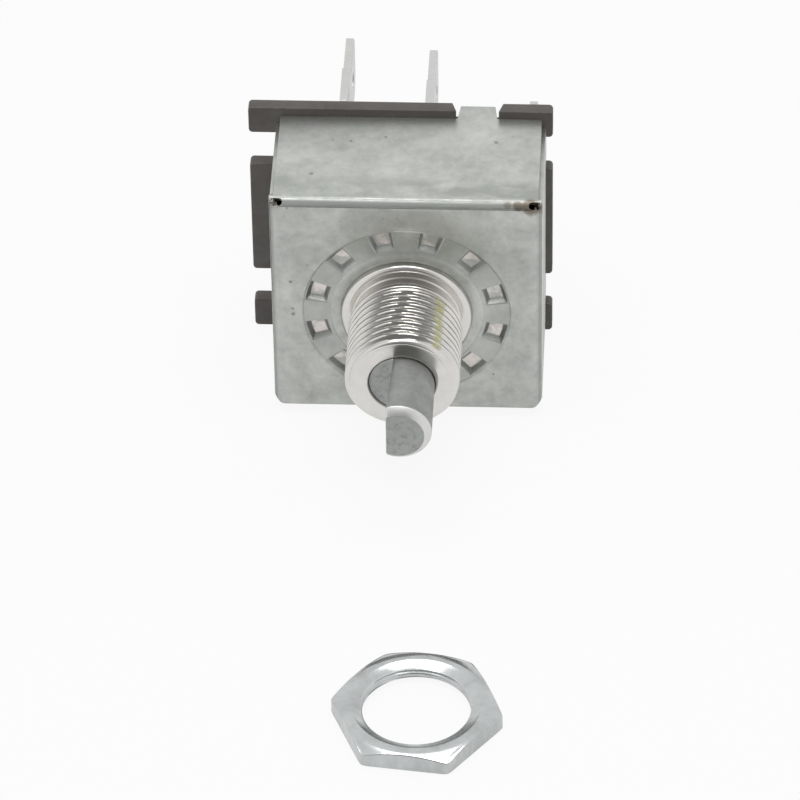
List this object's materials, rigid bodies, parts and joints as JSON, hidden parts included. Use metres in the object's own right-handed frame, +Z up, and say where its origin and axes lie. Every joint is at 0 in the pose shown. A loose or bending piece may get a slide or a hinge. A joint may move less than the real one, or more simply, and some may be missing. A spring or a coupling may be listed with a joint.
{
  "type": "rotary switch",
  "caption": "Detented rotary selector switch in a folded steel cover, with a threaded panel bushing, a D shaft, blade terminals and a loose hexagon nut.",
  "frame": {"origin": "where the shaft's axis meets the front face of the housing", "axes": "+X to the right seen from the front, +Y along the shaft's axis towards the terminals, +Z up, so that the bushing points along -Y"},
  "size_m": [0.0299, 0.0803, 0.0274],
  "materials": {
    "zinc_steel": "satin zinc plate, faintly mottled",
    "turned_metal": "bright turned",
    "die_cast": "dull die cast zinc",
    "spring_bronze": "plain rolled",
    "carrier_plastic": "moulded",
    "ball_steel": "polished",
    "spring_wire": "drawn wire",
    "contact_copper": "bright stamped copper",
    "base_phenolic": "dark brown moulded phenolic",
    "tinned_blade": "tinned brass",
    "rivet_metal": "plated brass",
    "nut_zinc": "bright zinc plate"
  },
  "bodies": {
    "switch_body": {"housing": "zinc_steel", "bushing": "turned_metal", "thrust_washer": "spring_bronze", "terminal_base": "base_phenolic", "mounting_nut": "nut_zinc", "terminal_1": "tinned_blade", "terminal_2": "tinned_blade", "terminal_3": "tinned_blade", "terminal_4": "tinned_blade", "terminal_5": "tinned_blade", "contact_rivet_1": "rivet_metal", "contact_rivet_2": "rivet_metal", "contact_rivet_3": "rivet_metal", "contact_rivet_4": "rivet_metal", "contact_rivet_5": "rivet_metal"},
    "rotating_group": {"shaft": "die_cast", "rotor": "carrier_plastic", "contact_bridge": "contact_copper", "contact_spring": "spring_wire", "detent_spring_left": "spring_wire", "detent_spring_right": "spring_wire"},
    "ball_left": {"detent_ball_left": "ball_steel"},
    "ball_right": {"detent_ball_right": "ball_steel"}
  },
  "joints": [
    {"name": "shaft_turn", "type": "hinge", "parent": "switch_body", "child": "rotating_group", "pos_m": [0, 0, 0], "axis": [0, 1, 0], "range_deg": [0, 90]},
    {"name": "detent_left", "type": "slide", "parent": "rotating_group", "child": "ball_left", "axis": [0, -1, 0], "range_m": [0, 0.00065], "stiffness_N_per_m": 20, "springref_m": 0.0008, "deforming": ["detent_spring_left"]},
    {"name": "detent_right", "type": "slide", "parent": "rotating_group", "child": "ball_right", "axis": [0, -1, 0], "range_m": [0, 0.00065], "stiffness_N_per_m": 20, "springref_m": 0.0008, "deforming": ["detent_spring_right"]}
  ]
}
